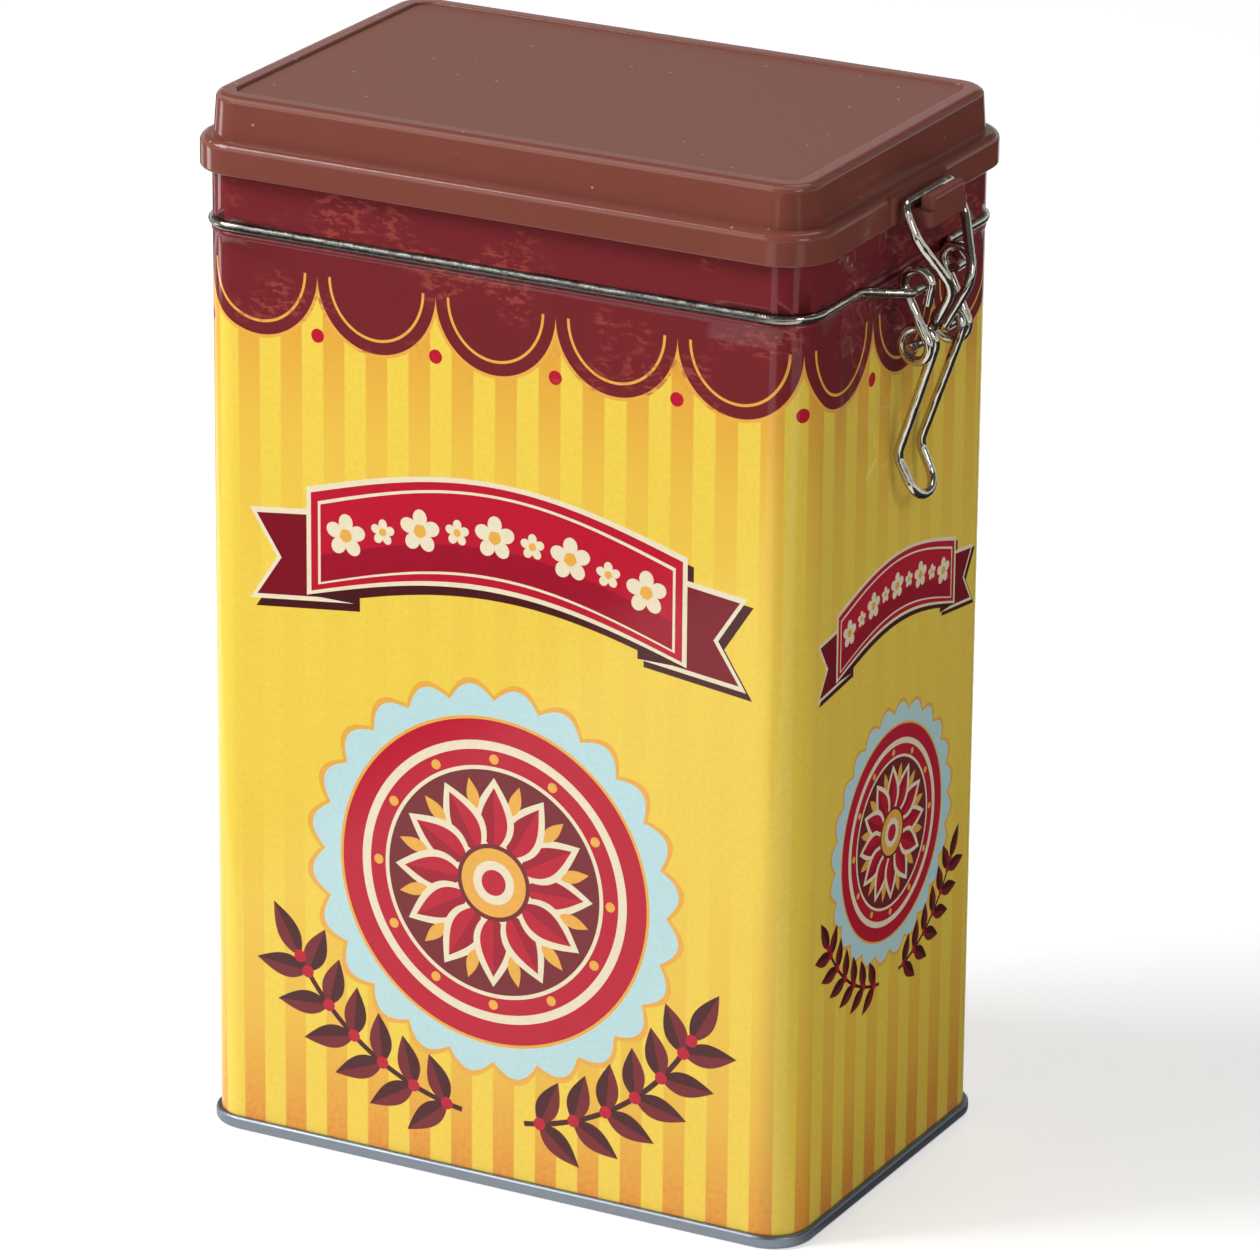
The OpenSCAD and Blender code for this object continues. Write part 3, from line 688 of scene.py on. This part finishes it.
# %% Rolled forms
SHEET_T_MM = 0.4
SAME_MM = 0.001
WIRE_R, GROOVE_R, GROOVE_HALF, WIRE_IN = 0.875, 0.925, 0.92, 0.1
WIRE_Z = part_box("hinge_wire")[0].z / MM + WIRE_R
BEAD_R, BEAD_OUT = 0.6, 0.2
BEAD_IN = BEAD_R - BEAD_OUT
BEAD_HALF = math.sqrt(BEAD_R**2 - BEAD_IN**2)
BEAD_Z = WIRE_Z - GROOVE_R - BEAD_R


def half_chord(z, middle, radius):
    """Half the width of a circle at a height, or 0 outside it."""
    return math.sqrt(max(radius**2 - (z - middle) ** 2, 0.0))


def outer(z):
    """How far the outer face stands out from the plain wall at a height."""
    if abs(z - WIRE_Z) < GROOVE_HALF - SAME_MM:
        return -WIRE_IN - half_chord(z, WIRE_Z, GROOVE_R)
    return max(0.0, half_chord(z, BEAD_Z, BEAD_R) - BEAD_IN)


def inner(z):
    """The same for the inner face."""
    pocket = half_chord(z, WIRE_Z, GROOVE_R + SHEET_T_MM)
    bead = half_chord(z, BEAD_Z, BEAD_R)
    return -max(SHEET_T_MM, pocket + WIRE_IN if pocket else 0.0, bead + BEAD_IN if bead else 0.0)


def round_levels(middle, half, step):
    """Heights across a rolled form, closer together at its edges."""
    return [middle + half * math.sin(math.radians(t)) for t in range(-90, 91, step)]


print("groove at", round(WIRE_Z, 2), "mm, bead at", round(BEAD_Z, 2), "mm")

# %% [markdown]
# From drawing to sheet metal
#
# All outlines become one flat triangle mesh, in which every edge of the drawing is an edge of the
# mesh. Blender's constrained triangulation does that, and says which outlines each triangle lies
# in: the last gives its ink. Upright lines in the corners let the sheet bend there, and level lines
# follow the bead and the groove.

# %% From drawing to sheet metal
CORNER_LINES = 18
ALL_TRIANGLES, MERGE_MM = 0, 1e-5
levels = [SHEET_LOW, SHEET_TOP]
levels += round_levels(BEAD_Z, BEAD_HALF, 15)
levels += round_levels(WIRE_Z, GROOVE_HALF, 10)
columns = [SHEET_START, SHEET_END]
for leg_end in (FRONT_FLAT / 2, FRONT_FLAT / 2 + TURN_MM + SIDE_FLAT):
    for start in (leg_end, -leg_end - TURN_MM):
        columns += [start + TURN_MM * i / CORNER_LINES for i in range(CORNER_LINES + 1)]
columns = sorted(c if c >= SHEET_START else c + ROUND_MM for c in columns)

spots, lines, outlines = [], [], []
for z in levels:
    spots += [(SHEET_START, z), (SHEET_END, z)]
    lines.append((len(spots) - 2, len(spots) - 1))
for s in columns:
    spots += [(s, SHEET_LOW), (s, SHEET_TOP)]
    lines.append((len(spots) - 2, len(spots) - 1))
for ink, outline in drawing:
    area = sum(a[0] * b[1] - b[0] * a[1] for a, b in zip(outline, outline[1:] + outline[:1]))
    outlines.append(list(range(len(spots), len(spots) + len(outline))))
    spots += outline if area > 0 else outline[::-1]
result = delaunay_2d_cdt([Vector(p) for p in spots], lines, outlines, ALL_TRIANGLES, MERGE_MM)
flat, triangles, covers = result[0], result[2], result[5]
on_sheet = [SHEET_START < sum(flat[i].x for i in triangle) / 3 < SHEET_END for triangle in triangles]
triangles = [triangle for triangle, kept in zip(triangles, on_sheet) if kept]
covers = [cover for cover, kept in zip(covers, on_sheet) if kept]
print(len(spots), "places became", len(flat), "vertices and", len(triangles), "triangles")

# %% [markdown]
# Rolling the sheet up
#
# Every vertex goes to its place on the wall, and the sheet's two ends are joined at one row of
# vertices. A sliver whose corners fall together there has no area left and is dropped, so the mesh
# stays valid. The normals come from the true round form and not from the triangles, which keeps the
# large flats free of shading marks.

# %% Rolling the sheet up
vertices, normals = [], []


def put(s, offset, z, facing):
    """Adds a vertex to the rolled sheet. facing is its normal as (outwards, upwards)."""
    x, y, nx, ny = wall(s)
    vertices.append(((x + nx * offset) * MM, (y + ny * offset) * MM, z * MM))
    normals.append(Vector((nx * facing[0], ny * facing[0], facing[1])).normalized())
    return len(vertices) - 1


def facing_of(form, z, side):
    """The normal of an upright face at a height, from the slope of its form."""
    reach = 0.02
    slope = (form(z + reach) - form(z - reach)) / (2 * reach)
    return side, -side * slope


index, seam = {}, {}
used = sorted(set(i for triangle in triangles for i in triangle))
for i in used:
    s, z = flat[i]
    if s < SHEET_END - SAME_MM:
        index[i] = put(s, outer(z), z, facing_of(outer, z, 1.0))
        if s < SHEET_START + SAME_MM:
            seam[round(z, 3)] = index[i]
for i in used:
    if i not in index:
        index[i] = seam[round(flat[i].y, 3)]
whole = [len(set(index[i] for i in triangle)) == 3 for triangle in triangles]
triangles = [triangle for triangle, kept in zip(triangles, whole) if kept]
covers = [cover for cover, kept in zip(covers, whole) if kept]
faces = [tuple(index[i] for i in triangle) for triangle in triangles]
print("outer face joined at its seam at", len(seam), "heights,", whole.count(False), "slivers left out")

# %% [markdown]
# Rim, inner face and foot
#
# The sheet's upper edge is curled over so that it can't cut, and its inner face follows the groove
# and the bead. These are rows of quads that go on from the printed face's own edge vertices, so the
# shell is closed, a real solid.

# %% Rim, inner face and foot
CURL_STEP, CURL_END = 15, 276
edge_rows = {SHEET_LOW: {}, SHEET_TOP: {}}
for i in used:
    for level, row in edge_rows.items():
        if abs(flat[i].y - level) < SAME_MM:
            row[round(flat[i].x, 3)] = index[i]
around = [round(s, 3) for s in columns]
rows = [[edge_rows[SHEET_TOP][s] for s in around]]
curl_start = math.degrees(math.asin((SHEET_TOP - RIM_Z) / RIM_R_MM))
for t in range(int(curl_start) + CURL_STEP, CURL_END, CURL_STEP):
    c, up = math.cos(math.radians(t)), math.sin(math.radians(t))
    row = [put(s, RIM_R_MM * c - RIM_IN_MM, RIM_Z + RIM_R_MM * up, (c, up)) for s in columns[:-1]]
    rows.append(row + row[:1])
inside_levels = round_levels(WIRE_Z, GROOVE_R + SHEET_T_MM, 15) + round_levels(BEAD_Z, BEAD_R, 15)
inside_levels = sorted(inside_levels + [RIM_Z - RIM_R_MM, SHEET_LOW], reverse=True)
for z in inside_levels:
    row = [put(s, inner(z), z, facing_of(inner, z, -1.0)) for s in columns[:-1]]
    rows.append(row + row[:1])
rows.append([edge_rows[SHEET_LOW][s] for s in around])
for here, beyond in zip(rows, rows[1:]):
    for j in range(len(around) - 1):
        faces.append((here[j], here[j + 1], beyond[j + 1], beyond[j]))
print("shell of", len(faces), "faces, of which", len(triangles), "are printed")

# %% [markdown]
# Lithographed print
#
# The inks are printed on a white base coat and covered with a clear gloss varnish, which the
# shader's coat layer gives. The yellow ground has soft orange stripes, strongest towards the foot
# and a little under the border. They are plain and regular, so nodes draw them from the place on
# the sheet, where the ink's alpha marks the ground. Faint mottling stands for the halftone dots,
# which are about 0.17 mm apart and too fine to show.

# %% Lithographed print
STRIPE_PAIRS, STRIPE_EDGE, STRIPE_TOP_MM = 44, 0.09, 170.0
STRIPE_LEVELS = (
    (0.0, 1.0),
    (0.13, 0.75),
    (0.26, 0.2),
    (0.42, 0.03),
    (0.62, 0.06),
    (0.8, 0.3),
    (1.0, 0.42),
)
MOTTLE_MM = 0.9
MOTTLE_RANGE = {"From Min": 0.3, "From Max": 0.7}
varnish = {"Specular_IOR_Level": 0.07, "Coat_Weight": 0.55, "Coat_Roughness": 0.06}
print_finish, tree, shader = surface("lithographed_tinplate", Roughness=0.45, **varnish)
ink = add(tree, "Attribute", attribute_name="ink")
ground = ink.outputs["Alpha"]
sheet = add(tree, "Attribute", attribute_name="sheet").outputs["Vector"]
place = add(tree, "SeparateXYZ", {0: sheet})
mottle = add(tree, "TexNoise", {"Vector": sheet, "Scale": 1 / MOTTLE_MM, "Detail": 3.0})

pitch = 2 * math.pi * STRIPE_PAIRS / ROUND_MM
phase = add(tree, "Math", {0: place.outputs["X"], 1: pitch}, operation="MULTIPLY")
wave = add(tree, "Math", {0: phase.outputs[0]}, operation="SINE")
edge = {"From Min": -STRIPE_EDGE, "From Max": STRIPE_EDGE}
stripe = add(tree, "MapRange", {"Value": wave.outputs[0], **edge})
rise = add(tree, "MapRange", {"Value": place.outputs["Y"], "From Min": 0.0, "From Max": STRIPE_TOP_MM})
strength = add(tree, "ValToRGB", {0: rise.outputs[0]})
stops = strength.color_ramp.elements
for position, level in STRIPE_LEVELS:
    stop = stops.new(position) if position not in (0.0, 1.0) else stops[int(position)]
    stop.color = (level, level, level, 1)
spread = {"To Min": 0.72, "To Max": 1.15, **MOTTLE_RANGE}
shade = add(tree, "MapRange", {"Value": mottle.outputs["Fac"], **spread})
amount = add(tree, "Math", {0: stripe.outputs[0], 1: strength.outputs[0]}, operation="MULTIPLY")
amount = add(tree, "Math", {0: amount.outputs[0], 1: shade.outputs[0]}, operation="MULTIPLY")
amount = add(tree, "Math", {0: amount.outputs[0], 1: ground}, operation="MULTIPLY", use_clamp=True)
shades = {6: ink.outputs["Color"], 7: linear("#E58F35")}
striped = add(tree, "Mix", {0: amount.outputs[0], **shades}, data_type="RGBA")
print("material", print_finish.name, "with", STRIPE_PAIRS, "pairs of stripes")

# %% [markdown]
# Worn patches
#
# The dark band looks rubbed in places, as if lighter ink showed through. A coarse noise chooses the
# patches and a finer one, drawn out along the sheet, breaks each patch up. The yellow ground and
# the ornament further down are left clean.

# %% Worn patches
SCUFF_MM, PATCH_MM = (2.4, 1.1), 18.0
SCUFF_RANGE = {"From Min": 0.51, "From Max": 0.56}
PATCH_RANGE = {"From Min": 0.52, "From Max": 0.6}
WORN_STRENGTH = 0.6
stretch = (1 / SCUFF_MM[0], 1 / SCUFF_MM[1], 1)
stretched = add(tree, "Mapping", {"Vector": sheet, "Scale": stretch}).outputs[0]
scuff = add(tree, "TexNoise", {"Vector": stretched, "Scale": 1.0, "Detail": 6.0, "Roughness": 0.62})
scuff = add(tree, "MapRange", {"Value": scuff.outputs["Fac"], **SCUFF_RANGE})
patch = add(tree, "TexNoise", {"Vector": sheet, "Scale": 1 / PATCH_MM})
patch = add(tree, "MapRange", {"Value": patch.outputs["Fac"], **PATCH_RANGE})
border_foot = SCALLOP_TOP - SCALLOP_DROP
high_up = add(tree, "Math", {0: place.outputs["Y"], 1: border_foot}, operation="GREATER_THAN")
dark = add(tree, "Math", {0: 1.0, 1: ground}, operation="SUBTRACT")
worn = scuff.outputs[0]
for factor in (patch.outputs[0], high_up.outputs[0], dark.outputs[0], WORN_STRENGTH):
    worn = add(tree, "Math", {0: worn, 1: factor}, operation="MULTIPLY").outputs[0]
colour = add(tree, "Mix", {0: worn, 6: striped.outputs[2], 7: linear("#A84A40")}, data_type="RGBA")
spread = {"To Min": 0.96, "To Max": 1.03, **MOTTLE_RANGE}
tone = add(tree, "MapRange", {"Value": mottle.outputs["Fac"], **spread})
colour = add(tree, "VectorMath", {0: colour.outputs[2], "Scale": tone.outputs[0]}, operation="SCALE")
tree.links.new(colour.outputs[0], shader.inputs["Base Color"])
print("worn patches about", PATCH_MM, "mm wide")

# %% [markdown]
# Varnish relief
#
# A sheet-metal wall is never quite flat, and varnish dries with a fine orange-peel skin. Round the
# clasp, the neck has a few soft knocks as well. All three are far shallower than the wall's form,
# so a bump is enough for them.

# %% Varnish relief
DENT_MM, DENT_DEPTH_MM = 45.0, 0.8
KNOCK_MM, KNOCK_DEPTH_MM = 9.0, 1.8
KNOCKS_BESIDE_MM = {"From Min": 36.0, "From Max": 24.0}
KNOCKS_ABOVE_MM = {"From Min": 144.0, "From Max": 152.0}
PEEL_MM, PEEL_DEPTH_MM = 1.4, 0.02
dent = add(tree, "TexNoise", {"Vector": sheet, "Scale": 1 / DENT_MM})
depth = {"Strength": 0.4, "Distance": DENT_DEPTH_MM * MM}
skin = add(tree, "Bump", {"Height": dent.outputs["Fac"], **depth})

knock = add(tree, "TexNoise", {"Vector": sheet, "Scale": 1 / KNOCK_MM, "Detail": 0.0})
from_clasp = add(tree, "Math", {0: place.outputs["X"], 1: ROUND_MM / 4}, operation="SUBTRACT")
from_clasp = add(tree, "Math", {0: from_clasp.outputs[0]}, operation="ABSOLUTE")
beside = add(tree, "MapRange", {"Value": from_clasp.outputs[0], **KNOCKS_BESIDE_MM})
above = add(tree, "MapRange", {"Value": place.outputs["Y"], **KNOCKS_ABOVE_MM})
knock = add(tree, "Math", {0: knock.outputs["Fac"], 1: beside.outputs[0]}, operation="MULTIPLY")
knock = add(tree, "Math", {0: knock.outputs[0], 1: above.outputs[0]}, operation="MULTIPLY")
depth = {"Strength": 1.0, "Distance": KNOCK_DEPTH_MM * MM}
skin = add(tree, "Bump", {"Height": knock.outputs[0], "Normal": skin.outputs[0], **depth})

peel = add(tree, "TexNoise", {"Vector": sheet, "Scale": 1 / PEEL_MM})
depth = {"Strength": 0.15, "Distance": PEEL_DEPTH_MM * MM}
skin = add(tree, "Bump", {"Height": peel.outputs["Fac"], "Normal": skin.outputs[0], **depth})
tree.links.new(skin.outputs[0], shader.inputs["Coat Normal"])
tree.links.new(skin.outputs[0], shader.inputs["Normal"])
print("relief of", DENT_MM, KNOCK_MM, "and", PEEL_MM, "mm")

# %% [markdown]
# The printed body
#
# The faces, their inks and their places on the sheet become one mesh. Ink and place are stored on
# the corners of the faces, so neighbouring inks never mix. The mesh stands for the CAD body, which
# has the same form but no print.

# %% The printed body
INKS = {
    "yellow": "#F4D350",
    "gold": "#EFB04A",
    "brown": "#782329",
    "umber": "#4A171B",
    "red": "#C01531",
    "crimson": "#A10E2A",
    "claret": "#7F0D20",
    "cream": "#EFE2C2",
    "sky": "#BFE0E2",
}
tones = {name: linear(code)[:3] + (1.0 if name == "yellow" else 0.0,) for name, code in INKS.items()}
inks = [drawing[max(cover)][0] if cover else "yellow" for cover in covers]
corner_places = [tuple(flat[i]) for triangle in triangles for i in triangle]

body_mesh = bpy.data.meshes.new("printed_body")
body_mesh.from_pydata(vertices, [], faces)
body_mesh.materials.append(print_finish)
body_mesh.materials.append(tinplate)
ink_layer = body_mesh.attributes.new("ink", "FLOAT_COLOR", "CORNER")
sheet_layer = body_mesh.attributes.new("sheet", "FLOAT_VECTOR", "CORNER")
for k, face in enumerate(body_mesh.polygons):
    printed = k < len(triangles)
    face.use_smooth = True
    face.material_index = 0 if printed else 1
    for corner in face.loop_indices:
        if printed:
            ink_layer.data[corner].color = tones[inks[k]]
            sheet_layer.data[corner].vector = corner_places[corner] + (0.0,)
body_mesh.normals_split_custom_set_from_vertices(normals)
printed_body = bpy.data.objects.new("printed_body", body_mesh)
scene.collection.objects.link(printed_body)
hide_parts("tin_body")
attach(printed_body, "tin")
print("printed body", len(body_mesh.vertices), "vertices")

# %% [markdown]
# Finishes on the CAD pieces
#
# The other seven pieces already have their real shape, so they only change their material. Each
# piece's material slots take the new one, and its shape isn't touched.

# %% Finishes on the CAD pieces
for name, material in (
    ("bottom_end", tinplate),
    ("lid", polypropylene),
    ("lid_gasket", silicone),
    ("neck_wire", nickel),
    ("hinge_wire", nickel),
    ("closure_lever", nickel),
    ("locking_bail", nickel),
):
    for slot in nodes[name].material_slots:
        slot.material = material
    print(name, "in", material.name)
